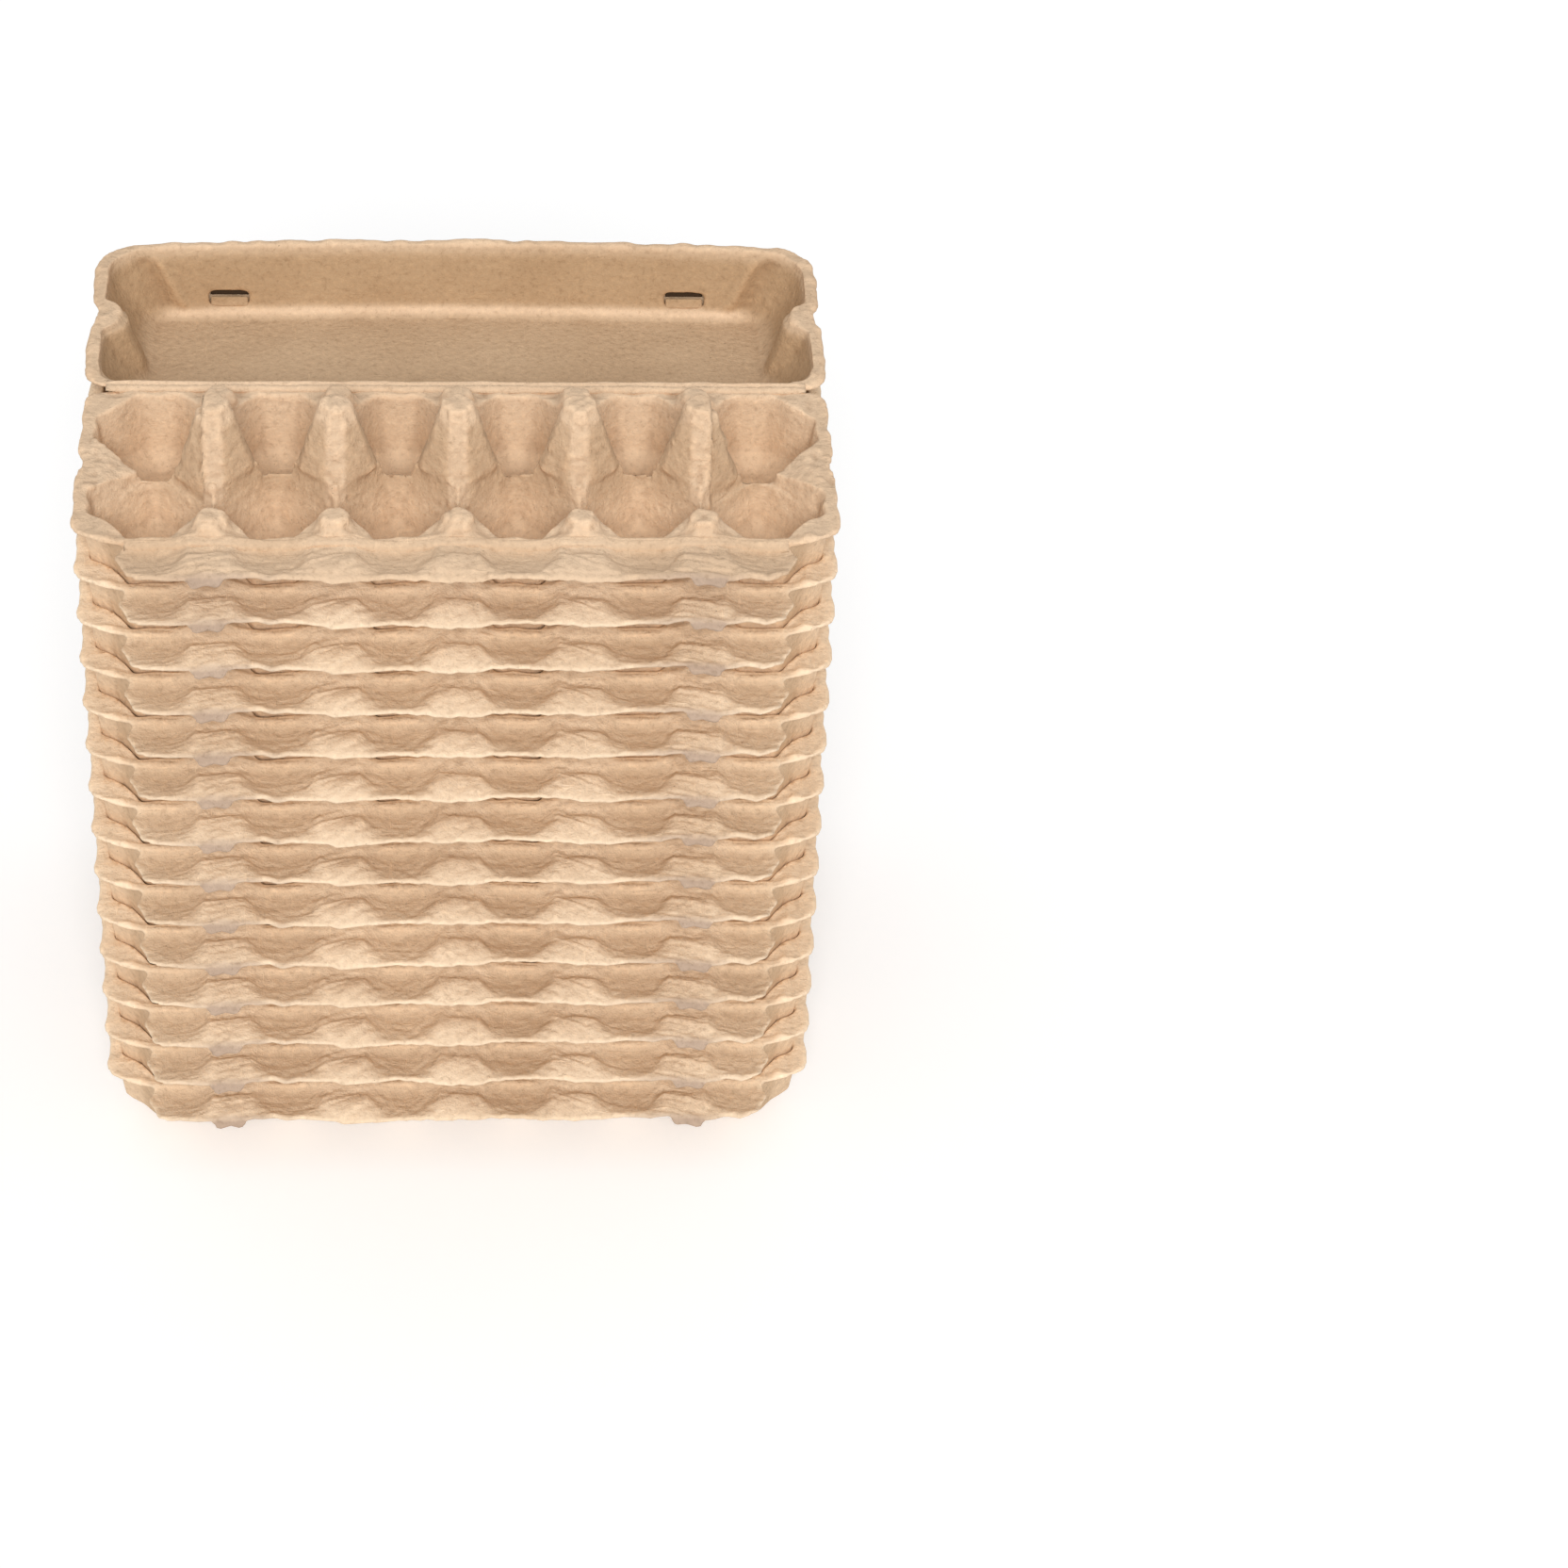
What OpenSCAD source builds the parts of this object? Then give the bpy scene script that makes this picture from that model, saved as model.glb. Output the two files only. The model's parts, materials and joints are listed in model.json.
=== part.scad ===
// Stack of nested moulded-pulp egg cartons, each open with its lid folded back.
// The front of the stack, with the locking flaps, faces -Y. The stack stands on z = 0.

/* [Stack] */
// Number of nested cartons, the top one included
carton_count = 14; // [3:1:14]
// Clearance between the cell walls of two nested cartons
nest_gap = 0.25; // [0.15:0.05:0.5]

/* [Tray] */
// Egg cells along the carton
columns = 6; // [3:1:6]
// Distance between neighbouring cells along the carton
column_pitch = 48; // [46:0.5:51]
// Distance between the front and the rear row of cells
row_pitch = 48; // [46:0.5:50]
// Distance from an egg cell's middle to its bands at the rim
cell_radius = 24.8; // [24:0.1:25.6]
// Distance from an egg cell's middle to the panels that face the posts, at the rim
panel_radius = 22; // [21.4:0.1:22.8]
// Draft of the panels that face the posts, in degrees
panel_draft = 13; // [11:0.25:14]
// Distance from an egg cell's middle to its panels beside the bumps, at the rim
corner_radius = 23.4; // [22.8:0.1:24.4]
// Turn of a cell's panels and of a bump's corners from the long side, in degrees
slant = 45; // [40:1:50]
// Draft of the cell walls from the vertical, in degrees
cell_draft = 8; // [7:0.25:10]
// Distance from a cell's middle to the edge of its flat floor
floor_radius = 12; // [9:0.5:14]
// Rise of the sloped foot of a cell wall, in degrees from the floor
foot_angle = 38; // [30:1:50]
// Depth of the tray and of the lid below the rim
tray_depth = 34; // [30:1:38]
// Thickness of the pulp wall
wall = 2.8; // [2.2:0.1:3.2]
// Rim left outside the cells along the front and the back
rim_width = 3.7; // [2.8:0.1:6]
// Rim left outside the cells at the two ends
end_rim = 5.7; // [3.5:0.1:8]
// Corner radius of the tray's rim
tray_corner = 14; // [8:1:18]
// Half width of the dip in the middle of each end
dip_half_width = 12; // [6:1:14]
// Depth of the dip in the middle of each end
dip_depth = 2; // [1:0.5:5]

/* [Posts and bumps] */
// Height of the middle posts above the rim
post_height = 27; // [22:0.5:29]
// Distance from a post's middle to the edges of its flat top
post_top_radius = 6; // [5:0.1:6.6]
// Draft of a post's narrow edges, in degrees
post_draft = 13; // [11:0.5:16]
// Height of the rim bumps between the cells
bump_height = 6; // [4:0.5:8]
// Distance from a rim bump's middle to its sides at the rim
bump_foot_radius = 7.6; // [6.8:0.1:8]
// Distance from a rim bump's middle to the edges of its top
bump_top_radius = 4.2; // [3.8:0.1:5]
// Rim left between a front bump and the edge of the rim
bump_setback = 0.8; // [0.5:0.1:2]
// Clearance between the rear bumps and the closed lid's back wall
bump_clearance = 0.6; // [0.4:0.1:2]

/* [Hinge and lid] */
// Width of the hinge strip between tray and lid
hinge_width = 3.6; // [3:0.2:6]
// Thickness of the hinge strip
hinge_wall = 1.8; // [1.2:0.1:2.4]
// Gap at the fold lines of the top carton
fold_gap = 0.3; // [0.2:0.05:0.5]
// Draft of the lid's walls, in degrees
lid_draft = 16; // [14:0.5:20]
// Draft of the lid's two end walls, in degrees
lid_end_draft = 27; // [22:0.5:30]
// Corner radius of the lid's mouth
lid_corner = 16; // [14:1:22]
// Rim round the lid's mouth at its two ends
lid_end_rim = 5; // [4:0.5:8]
// Rim along the lid's front edge
lid_front_rim = 4; // [3:0.5:6]
// Rim between the hinge strip and the lid's mouth
lid_back_rim = 2.2; // [1.5:0.1:4]
// Clearance between the closed lid's front wall and the raised flap
lid_clearance = 0.8; // [0.5:0.1:2]
// Sloped edge between the lid's walls and its floor
lid_edge = 4; // [2:0.5:6]
// Radius of the pinch in the middle of each end wall of the lid
pinch_radius = 13; // [9:0.5:16]
// Depth of that pinch
pinch_depth = 8; // [4:0.5:9]
// Distance of the latch slots from the middle of the lid
slot_offset = 97; // [80:1:110]
// Width of a latch slot
slot_width = 17; // [14:0.5:22]
// Height of a latch slot
slot_height = 6.5; // [5:0.5:9]
// Depth of a latch slot's middle below the lid's rim
slot_depth = 23.5; // [20:0.5:25]

/* [Flap] */
// Length of the locking flap from its fold to its free edge
flap_length = 22; // [18:0.5:26]
// Thickness of the flap
flap_wall = 2.2; // [1.8:0.1:2.8]
// Distance of the flap's ends from the ends of the tray
flap_inset = 18; // [15:0.5:24]
// Width of the notch at each end of the flap's fold
notch_width = 3.5; // [1:0.5:6]
// Length of that notch along the end of the flap
notch_length = 7; // [4:0.5:10]
// How much each end of the flap tapers towards its free edge
flap_taper = 4; // [0:0.5:8]
// Radius of the flap's free corners
flap_corner = 7; // [3:0.5:10]
// Droop of the flap below the level, in degrees
flap_droop = 5; // [2:0.5:12]
// Height of the fans that stand up from the flap
fan_height = 1; // [0.6:0.1:1.2]
// Distance of the fans from the flap's free edge
fan_margin = 4; // [3:0.5:6]
// Half width of a fan near the fold
fan_root_half = 10; // [7:0.5:12]
// Half width of a fan near the free edge
fan_edge_half = 16; // [12:0.5:20]
// Width of a locking tab
tab_width = 14; // [10:0.5:16]
// Length of a locking tab
tab_length = 5; // [3:0.5:7]
// Radius of a locking tab's corners
tab_corner = 3.5; // [1:0.5:3.5]
// Bend of a locking tab below the flap, in degrees
tab_bend = 48; // [30:1:60]

/* [Hidden] */
arc_steps = 8;
lid_arc_steps = 24;
overlap = 1;
// Nested cell walls stand one wall and one gap apart, measured square to the wall
nest_pitch = (wall + nest_gap) / sin(cell_draft);
half_length = (columns - 1) / 2 * column_pitch + cell_radius + end_rim;
half_depth = row_pitch / 2 + cell_radius + rim_width;
hinge_y = half_depth + hinge_width / 2;
lid_y = half_depth + hinge_width;
lid_back_y = lid_y + lid_back_rim;
bump_draft = atan((bump_foot_radius - bump_top_radius) / bump_height);
front_bump_y = bump_setback + bump_foot_radius - half_depth;
// The rear bumps stand inside the mouth of the closed lid
back_bump_y = 2 * hinge_y - lid_back_y - bump_clearance - bump_foot_radius;
// The closed lid's front wall lies outside the raised flap
lid_reach = hinge_y + half_depth + fold_gap + flap_wall + lid_clearance;
lid_front_y = hinge_y + lid_reach;
lid_mouth_half = half_length - lid_end_rim;
lid_middle_y = (lid_back_y + lid_front_y) / 2;
// The slots cut right through the sloping front wall
slot_reach = tray_depth * tan(lid_draft) + overlap;
flap_half = half_length - flap_inset;
// The fans begin outside the rim of the closed lid
fan_start = fold_gap + flap_wall + lid_clearance + lid_front_rim + overlap;
flap_reach = half_depth + flap_length * cos(flap_droop) + tab_length * cos(flap_droop + tab_bend);
stack_back = lid_front_y + lid_front_rim;
// The origin lies below the middle of the stack's plan
shift_y = (flap_reach - stack_back) / 2;
pulp = [0.80, 0.66, 0.48];
top_pulp = [0.84, 0.70, 0.52];

function two_digits(n) = n < 10 ? str("0", n) : str(n);
function carton_name(n) = str("carton_", two_digits(n));

function column_x(i) = (i - (columns - 1) / 2) * column_pitch;
function gap_x(i) = (i - (columns - 2) / 2) * column_pitch;
function arc(cx, cy, r, from, to) =
    [for (i = [0 : arc_steps]) let (a = from + (to - from) * i / arc_steps)
        [cx + r * cos(a), cy + r * sin(a)]];

// Points of a smooth dip in an end edge, in order along side * y
function end_dip(side, x, y, half_width, depth) =
    [for (i = [0 : arc_steps]) let (s = 2 * i / arc_steps - 1)
        [side * (x - depth * (1 + cos(180 * s)) / 2), y + side * s * half_width]];

// Outline of a rim: a rectangle with round corners and a dip in the middle of each end
function rim_outline(half, y0, y1, r, half_width, depth) = concat(
    arc(half - r, y0 + r, r, -90, 0),
    end_dip(1, half, (y0 + y1) / 2, half_width, depth),
    arc(half - r, y1 - r, r, 0, 90),
    arc(r - half, y1 - r, r, 90, 180),
    end_dip(-1, half, (y0 + y1) / 2, half_width, depth),
    arc(r - half, y0 + r, r, 180, 270));

// Half section of an egg cell, moved outward by off: flat floor, sloped foot, drafted wall
function cell_side(side, radius, draft, off) =
    let (bottom = wall - tray_depth - off,
         floor_r = floor_radius + radius - cell_radius + off * tan(foot_angle / 2),
         wall_r = radius + off / cos(draft),
         slope = 1 / tan(foot_angle),
         foot_z = (wall_r - floor_r + bottom * slope) / (slope - tan(draft)),
         foot_r = wall_r + foot_z * tan(draft),
         top = post_height + overlap,
         top_r = wall_r + top * tan(draft))
    [[side * floor_r, bottom], [side * foot_r, foot_z], [side * top_r, top]];

function reversed(points) = [for (i = [len(points) - 1 : -1 : 0]) points[i]];

// A section through the cell pushed through sideways, with the same wall or two different ones
module cell_slice(near, far, off, turn) {
    reach = 2 * cell_radius;
    rotate([0, 0, turn])
        translate([0, reach, 0])
            rotate([90, 0, 0])
                linear_extrude(2 * reach)
                    polygon(concat(cell_side(1, far[0], far[1], off),
                                   reversed(cell_side(-1, near[0], near[1], off))));
}

// Eight drafted sides: four bands, two large panels towards the posts on +Y and two beside the bumps
module cell(off) {
    band = [cell_radius, cell_draft];
    panel = [panel_radius, panel_draft];
    corner = [corner_radius, cell_draft];
    intersection() {
        cell_slice(band, band, off, 0);
        cell_slice(band, band, off, 90);
        cell_slice(corner, panel, off, slant);
        cell_slice(corner, panel, off, 180 - slant);
    }
}

module cells(off) {
    for (i = [0 : columns - 1], turn = [0, 180])
        rotate([0, 0, turn])
            translate([column_x(i), -row_pitch / 2, 0])
                cell(off);
}

// One direction of a knob with sloping sides, moved inward by inset and reaching below the rim
module knob_slice(height, top_radius, draft, inset, below, turn) {
    top = height - inset;
    top_r = top_radius + inset * tan(draft) - inset / cos(draft);
    low_r = top_r + (top + below) * tan(draft);
    rotate([0, 0, turn])
        translate([0, 2 * low_r, 0])
            rotate([90, 0, 0])
                linear_extrude(4 * low_r)
                    polygon([[-low_r, -below], [low_r, -below], [top_r, top], [-top_r, top]]);
}

module post_cores(inset, below) {
    for (i = [0 : columns - 2])
        translate([gap_x(i), 0, 0])
            intersection() {
                knob_slice(post_height, post_top_radius, post_draft, inset, below, 0);
                knob_slice(post_height, post_top_radius, post_draft, inset, below, 90);
            }
}

module bump_cores(inset, below) {
    for (i = [0 : columns - 2], y = [front_bump_y, back_bump_y])
        translate([gap_x(i), y, 0])
            intersection() {
                knob_slice(bump_height, bump_top_radius, bump_draft, inset, below, 0);
                knob_slice(bump_height, bump_top_radius, bump_draft, inset, below, slant);
                knob_slice(bump_height, bump_top_radius, bump_draft, inset, below, 90);
                knob_slice(bump_height, bump_top_radius, bump_draft, inset, below, 180 - slant);
            }
}

// Space under the rim, inside the posts and inside the bumps
module underside() {
    translate([-half_length - overlap, -half_depth - overlap, -2 * tray_depth])
        cube([2 * (half_length + overlap), 2 * (half_depth + overlap), 2 * tray_depth - wall]);
    post_cores(wall, wall + overlap);
    bump_cores(wall, wall + overlap);
}

module tray_form() {
    difference() {
        union() {
            translate([0, 0, -tray_depth - overlap])
                linear_extrude(tray_depth + overlap)
                    polygon(rim_outline(half_length, -half_depth, half_depth, tray_corner,
                                        dip_half_width, dip_depth));
            post_cores(0, wall / 2);
            bump_cores(0, wall / 2);
        }
        cells(0);
        difference() {
            underside();
            cells(wall);
        }
    }
}

// Part of the hinge strip between two distances from the tray's edge
module hinge_strip(from, to) {
    hinge_half = half_length - tray_corner;
    translate([-hinge_half, half_depth + from, -hinge_wall])
        cube([2 * hinge_half, to - from, hinge_wall]);
}

// The lid's hollow, moved outward by off. Its end walls slope more than its long walls
module tub(off, top) {
    bottom = wall - tray_depth - off;
    edge_z = bottom + lid_edge;
    radius = lid_corner + off / cos(lid_draft);
    edge_r = radius + edge_z * tan(lid_draft);
    top_r = radius + top * tan(lid_draft);
    lean = tan(lid_end_draft) - tan(lid_draft);
    corner_x = lid_mouth_half - lid_corner;
    pinch_x = lid_mouth_half - pinch_depth + pinch_radius;
    pinch_r = pinch_radius - off / cos(lid_draft);
    difference() {
        hull()
            for (side = [-1, 1], y = [lid_back_y + lid_corner, lid_front_y - lid_corner]) {
                translate([side * (corner_x + edge_z * lean), y, bottom])
                    cylinder(h = lid_edge, r1 = edge_r - lid_edge, r2 = edge_r, $fn = lid_arc_steps);
                translate([side * (corner_x + top * lean), y, top - lid_corner])
                    cylinder(h = lid_corner, r1 = 0, r2 = top_r, $fn = lid_arc_steps);
            }
        for (side = [-1, 1])
            translate([side * pinch_x, lid_middle_y, bottom - overlap])
                cylinder(h = top - bottom + 2 * overlap,
                         r1 = pinch_r - (bottom - overlap) * tan(lid_draft),
                         r2 = pinch_r - (top + overlap) * tan(lid_draft));
    }
}

module lid_form() {
    difference() {
        union() {
            translate([0, 0, -wall])
                linear_extrude(wall)
                    polygon(rim_outline(half_length, lid_y, stack_back, lid_corner,
                                        pinch_radius, pinch_depth / 2));
            tub(wall, -wall / 2);
        }
        tub(0, overlap);
        for (side = [-1, 1])
            translate([side * slot_offset - slot_width / 2, lid_front_y - slot_reach,
                       -slot_depth - slot_height / 2])
                cube([slot_width, 2 * slot_reach, slot_height]);
    }
}

function flap_outline(root) = concat(
    [[flap_half, -notch_length], [flap_half - notch_width, root],
     [notch_width - flap_half, root], [-flap_half, -notch_length]],
    arc(flap_taper + flap_corner - flap_half, flap_corner - flap_length, flap_corner, 180, 270),
    arc(flap_half - flap_taper - flap_corner, flap_corner - flap_length, flap_corner, 270, 360));

function fan_outline() = [
    [fan_root_half, -fan_start], [-fan_root_half, -fan_start],
    [-fan_edge_half, fan_margin - flap_length], [fan_edge_half, fan_margin - flap_length]];

function tab_outline() = concat(
    [[tab_width / 2, overlap], [-tab_width / 2, overlap]],
    arc(tab_corner - tab_width / 2, tab_corner - tab_length, tab_corner, 180, 270),
    arc(tab_width / 2 - tab_corner, tab_corner - tab_length, tab_corner, 270, 360));

// The flap lies on its own fold line, which is the front edge of the rim
module flap_form(root) {
    translate([0, -half_depth, 0])
        rotate([flap_droop, 0, 0]) {
            translate([0, 0, -flap_wall])
                linear_extrude(flap_wall)
                    polygon(flap_outline(root));
            for (i = [0 : columns - 2])
                translate([gap_x(i), 0, -flap_wall])
                    linear_extrude(flap_wall + fan_height)
                        polygon(fan_outline());
            for (side = [-1, 1])
                translate([side * slot_offset, -flap_length, 0])
                    rotate([tab_bend, 0, 0])
                        translate([0, 0, -flap_wall])
                            linear_extrude(flap_wall)
                                polygon(tab_outline());
        }
}

module place(level) {
    translate([0, shift_y, tray_depth + level * nest_pitch])
        children();
}

module stacked_carton(n) {
    color(pulp)
        place(n - 1) {
            tray_form();
            hinge_strip(-overlap, hinge_width + overlap);
            lid_form();
            flap_form(overlap);
        }
}

module top_tray() {
    color(top_pulp)
        place(carton_count - 1) {
            tray_form();
            hinge_strip(-overlap, (hinge_width - fold_gap) / 2);
        }
}

module top_lid() {
    color(top_pulp)
        place(carton_count - 1) {
            hinge_strip((hinge_width + fold_gap) / 2, hinge_width + overlap);
            lid_form();
        }
}

module top_flap() {
    color(top_pulp)
        place(carton_count - 1)
            flap_form(-fold_gap);
}

for (n = [1 : carton_count - 1])
    stacked_carton(n);
top_tray();
top_lid();
top_flap();
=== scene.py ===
# %% [markdown]
# # A stack of moulded-pulp egg cartons
# Fourteen open cartons stand nested in each other, and only the top one shows its cells.
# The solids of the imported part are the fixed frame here. They already have the right places, so this
# lesson gives each carton the soft edges, swellings and paper fibres of real moulded pulp.

# %% Load the frame
import json
import math
from itertools import product

import bmesh
import bpy
import numpy as np
from mathutils import Matrix, Vector

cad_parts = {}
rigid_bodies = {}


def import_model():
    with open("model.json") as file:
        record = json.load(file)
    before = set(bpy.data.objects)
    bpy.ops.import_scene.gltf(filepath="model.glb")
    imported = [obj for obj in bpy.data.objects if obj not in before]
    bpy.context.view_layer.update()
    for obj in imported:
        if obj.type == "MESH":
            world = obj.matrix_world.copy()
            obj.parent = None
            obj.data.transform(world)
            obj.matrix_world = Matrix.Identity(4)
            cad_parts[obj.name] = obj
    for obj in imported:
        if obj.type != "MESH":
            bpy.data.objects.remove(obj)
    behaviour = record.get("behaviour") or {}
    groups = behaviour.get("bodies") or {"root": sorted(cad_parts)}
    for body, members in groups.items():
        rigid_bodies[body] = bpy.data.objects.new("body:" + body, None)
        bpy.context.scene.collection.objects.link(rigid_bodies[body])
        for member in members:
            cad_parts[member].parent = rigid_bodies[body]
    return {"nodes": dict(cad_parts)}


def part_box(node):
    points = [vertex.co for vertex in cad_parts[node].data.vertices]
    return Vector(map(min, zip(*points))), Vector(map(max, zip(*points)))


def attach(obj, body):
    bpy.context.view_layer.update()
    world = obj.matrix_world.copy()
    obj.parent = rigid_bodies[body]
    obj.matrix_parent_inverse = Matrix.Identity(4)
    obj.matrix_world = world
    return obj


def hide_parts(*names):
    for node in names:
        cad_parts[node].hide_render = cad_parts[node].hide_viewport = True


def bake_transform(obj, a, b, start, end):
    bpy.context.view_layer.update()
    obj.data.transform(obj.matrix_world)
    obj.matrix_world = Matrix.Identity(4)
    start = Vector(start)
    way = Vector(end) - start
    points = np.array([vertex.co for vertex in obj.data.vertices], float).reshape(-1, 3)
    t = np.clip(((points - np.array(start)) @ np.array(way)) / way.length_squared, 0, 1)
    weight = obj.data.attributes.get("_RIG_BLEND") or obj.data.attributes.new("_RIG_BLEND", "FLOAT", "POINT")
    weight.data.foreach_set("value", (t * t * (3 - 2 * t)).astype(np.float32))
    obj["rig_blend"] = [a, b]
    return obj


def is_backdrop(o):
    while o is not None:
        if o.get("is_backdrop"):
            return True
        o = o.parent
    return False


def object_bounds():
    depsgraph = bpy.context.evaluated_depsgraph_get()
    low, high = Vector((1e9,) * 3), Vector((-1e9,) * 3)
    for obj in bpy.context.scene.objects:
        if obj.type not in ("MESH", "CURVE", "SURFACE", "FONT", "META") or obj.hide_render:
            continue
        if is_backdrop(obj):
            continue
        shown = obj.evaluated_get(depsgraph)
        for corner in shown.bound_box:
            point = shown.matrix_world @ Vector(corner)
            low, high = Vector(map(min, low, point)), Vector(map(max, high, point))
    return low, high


for old in list(bpy.data.objects):
    bpy.data.objects.remove(old)
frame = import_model()
cad_low, cad_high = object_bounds()

# %% [markdown]
# ## Measures
# Shaping is easiest in millimetres, from one origin that every carton shares: the middle of its tray,
# at the height of its rim. The frame gives the place of that origin for each carton of the stack.

# %% Measures of a carton
MM = 0.001
COLUMN_PITCH = 48.0
ROW_PITCH = 48.0
HALF_DEPTH = 52.5
FLAP_LENGTH = 22.0
TAB_X = 97.0
SCOOP_SAG = 2.2
FRONT_RIDGE = -50.6
POST_HEIGHT = 27.0
POSTS_END = 122.0
LID_MOUTH = 145.5
LID_BACK = 58.3
LID_FRONT = 164.4
LID_FLOOR = -31.2
CARTON_DEPTH = 34.0
LID_EDGE = 56.1
LID_CORNER = 16.0
TRAY_CORNER = 14.0
LID_ANGLE = math.radians(16)
LID_DRAFT = math.tan(LID_ANGLE)
LID_END_DRAFT = math.tan(math.radians(27))
LID_BOW = 6.0
SLOT_DEPTH = 23.5
tray_low, tray_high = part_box("top_tray")
HALF_LENGTH = tray_high.x / MM
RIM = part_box("top_lid")[1].z / MM
TRAY_Y = tray_low.y / MM + HALF_DEPTH
NEST_PITCH = (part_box("carton_13")[0].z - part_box("carton_12")[0].z) / MM
LEVELS = sum(name.startswith("carton_") for name in frame["nodes"])
top_origin = np.array([0.0, TRAY_Y, RIM])
print(f"rim {RIM:.2f} mm high, {LEVELS} lower cartons {NEST_PITCH:.2f} mm apart")

# %% [markdown]
# ## Reading and writing points
# A mesh keeps its points as one long list of numbers. NumPy takes the whole list at once, so that a
# shape can be written as a formula over all points, without a slow loop.


# %% Helpers for points
def read(mesh, what):
    flat = np.empty(len(mesh.vertices) * 3, np.float32)
    mesh.vertices.foreach_get(what, flat)
    return flat.reshape(-1, 3).astype(float)


def write_points(mesh, points):
    mesh.vertices.foreach_set("co", points.astype(np.float32).ravel())
    mesh.update()


def stored(mesh, name):
    values = np.zeros(len(mesh.vertices), np.float32)
    if name in mesh.attributes:
        mesh.attributes[name].data.foreach_get("value", values)
    return values


def store(mesh, name, values):
    if name not in mesh.attributes:
        mesh.attributes.new(name, "FLOAT", "POINT")
    mesh.attributes[name].data.foreach_set("value", np.asarray(values, np.float32))


def ease(low, high, value):
    t = np.clip((value - low) / (high - low), 0, 1)
    return t * t * (3 - 2 * t)


def bell(value, middle, width):
    return np.exp(-(((value - middle) / width) ** 2))


def lumps(points, size, seed):
    """Soft swellings between -1 and 1, about size apart, the same on every run."""
    grid = np.random.default_rng(seed).uniform(-1, 1, (32, 32, 32))
    place = np.asarray(points) / size
    cell = np.floor(place).astype(int)
    part = place - cell
    part = part * part * (3 - 2 * part)
    total = np.zeros(len(place))
    for corner in product((0, 1), repeat=3):
        share = np.prod(np.where(corner, part, 1 - part), axis=1)
        total += share * grid[tuple(((cell + corner) % 32).T)]
    return total


def along(*columns):
    """Points from one to three columns, for swellings that run only in some directions."""
    zeros = np.zeros_like(columns[0])
    return np.stack([*columns, zeros, zeros][:3], 1)


print("swelling sample:", lumps(np.array([[1.0, 2.0, 3.0]]), 2.5, 1).round(3))

# %% [markdown]
# ## From a sharp solid to a moulded shell
# Wet pulp is sucked onto a wire mould, so it has no sharp edge anywhere. A voxel remesh turns the solid
# into an even net of small faces, and a few rounds of smoothing then draw every edge into a fillet.
# Bevels would need clean edges all round, and this works on any solid.


# %% Remesh and smooth
def evaluated(shape):
    made = bpy.data.meshes.new_from_object(shape.evaluated_get(bpy.context.evaluated_depsgraph_get()))
    bpy.data.objects.remove(shape)
    return made


def placed(name, data):
    """A new object in the scene."""
    made = bpy.data.objects.new(name, data)
    bpy.context.scene.collection.objects.link(made)
    return made


def neighbours(mesh):
    """A function that averages values over the neighbours of every point."""
    ends = np.empty(len(mesh.edges) * 2, np.int32)
    mesh.edges.foreach_get("vertices", ends)
    one, two = ends.reshape(-1, 2).T
    size = len(mesh.vertices)
    count = np.maximum(np.bincount(np.r_[one, two], minlength=size), 1)

    def mean(values):
        total = [
            np.bincount(one, column[two], size) + np.bincount(two, column[one], size)
            for column in values.reshape(size, -1).T
        ]
        return (np.stack(total, 1) / count[:, None]).reshape(values.shape)

    return mean


def moulded(node, origin, voxel, rounds):
    """An even, rounded copy of a solid, in millimetres from the carton's own origin."""
    net = bmesh.new()
    net.from_mesh(frame["nodes"][node].data)
    bmesh.ops.scale(net, vec=(1 / MM,) * 3, verts=net.verts)
    bmesh.ops.translate(net, vec=-Vector(origin), verts=net.verts)
    bmesh.ops.remove_doubles(net, verts=net.verts, dist=0.005)
    mesh = bpy.data.meshes.new(node)
    net.to_mesh(mesh)
    net.free()
    shape = placed("moulding", mesh)
    remesh = shape.modifiers.new("even faces", "REMESH")
    remesh.mode = "VOXEL"
    remesh.voxel_size = voxel
    mesh = evaluated(shape)
    mean = neighbours(mesh)
    points = read(mesh, "co")
    for _ in range(rounds):
        points = 0.5 * points + 0.5 * mean(points)
    write_points(mesh, points)
    print(f"{node}: {len(points)} points at {voxel} mm")
    return mesh


def shape_with_ridge_and_crease_tone(mesh, points, full=0.06):
    """Writes the points, and stores how far the pulp stands out in a ridge or lies in a crease."""
    write_points(mesh, points)
    mean = neighbours(mesh)
    worn = np.einsum("ij,ij->i", read(mesh, "normal"), points - mean(points))
    for _ in range(4):
        worn = 0.4 * worn + 0.6 * mean(worn)
    # This value makes ridges paler and paints shade into creases.
    store(mesh, "worn", np.clip(worn / full, -1, 1))


# %% [markdown]
# ## Fewer faces where nobody looks
# Nested walls hide each other. The Decimate modifier works only on points of its vertex group, so the
# points are sorted into zones, and one pass for each zone thins it to its own number of faces.


# %% Thin out
def thinned(mesh, zones, faces):
    """Thins each zone of the points, counted from 0, to its own number of faces."""
    shape = placed("moulding", mesh)
    for zone, share in enumerate(faces):
        part = zones == zone
        shape.data.calc_loop_triangles()
        corner = np.empty(len(shape.data.loop_triangles) * 3, np.int32)
        shape.data.loop_triangles.foreach_get("vertices", corner)
        inside = part[corner.reshape(-1, 3)].all(1)
        wanted = (~inside).sum() + min(share, inside.sum())
        group = shape.vertex_groups.new(name="thin")
        group.add(np.flatnonzero(part).tolist(), 1.0, "REPLACE")
        thin = shape.modifiers.new("thin", "DECIMATE")
        thin.ratio = wanted / len(inside)
        thin.use_collapse_triangulate = True
        thin.vertex_group = group.name
        store(shape.data, "zone", zones)
        mesh = evaluated(shape)
        zones = np.rint(stored(mesh, "zone"))
        mesh.attributes.remove(mesh.attributes["zone"])
        shape = placed("moulding", mesh)
        shape.vertex_groups.clear()
    bpy.data.objects.remove(shape)
    print(f"thinned to {len(mesh.polygons)} faces")
    return mesh


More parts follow.
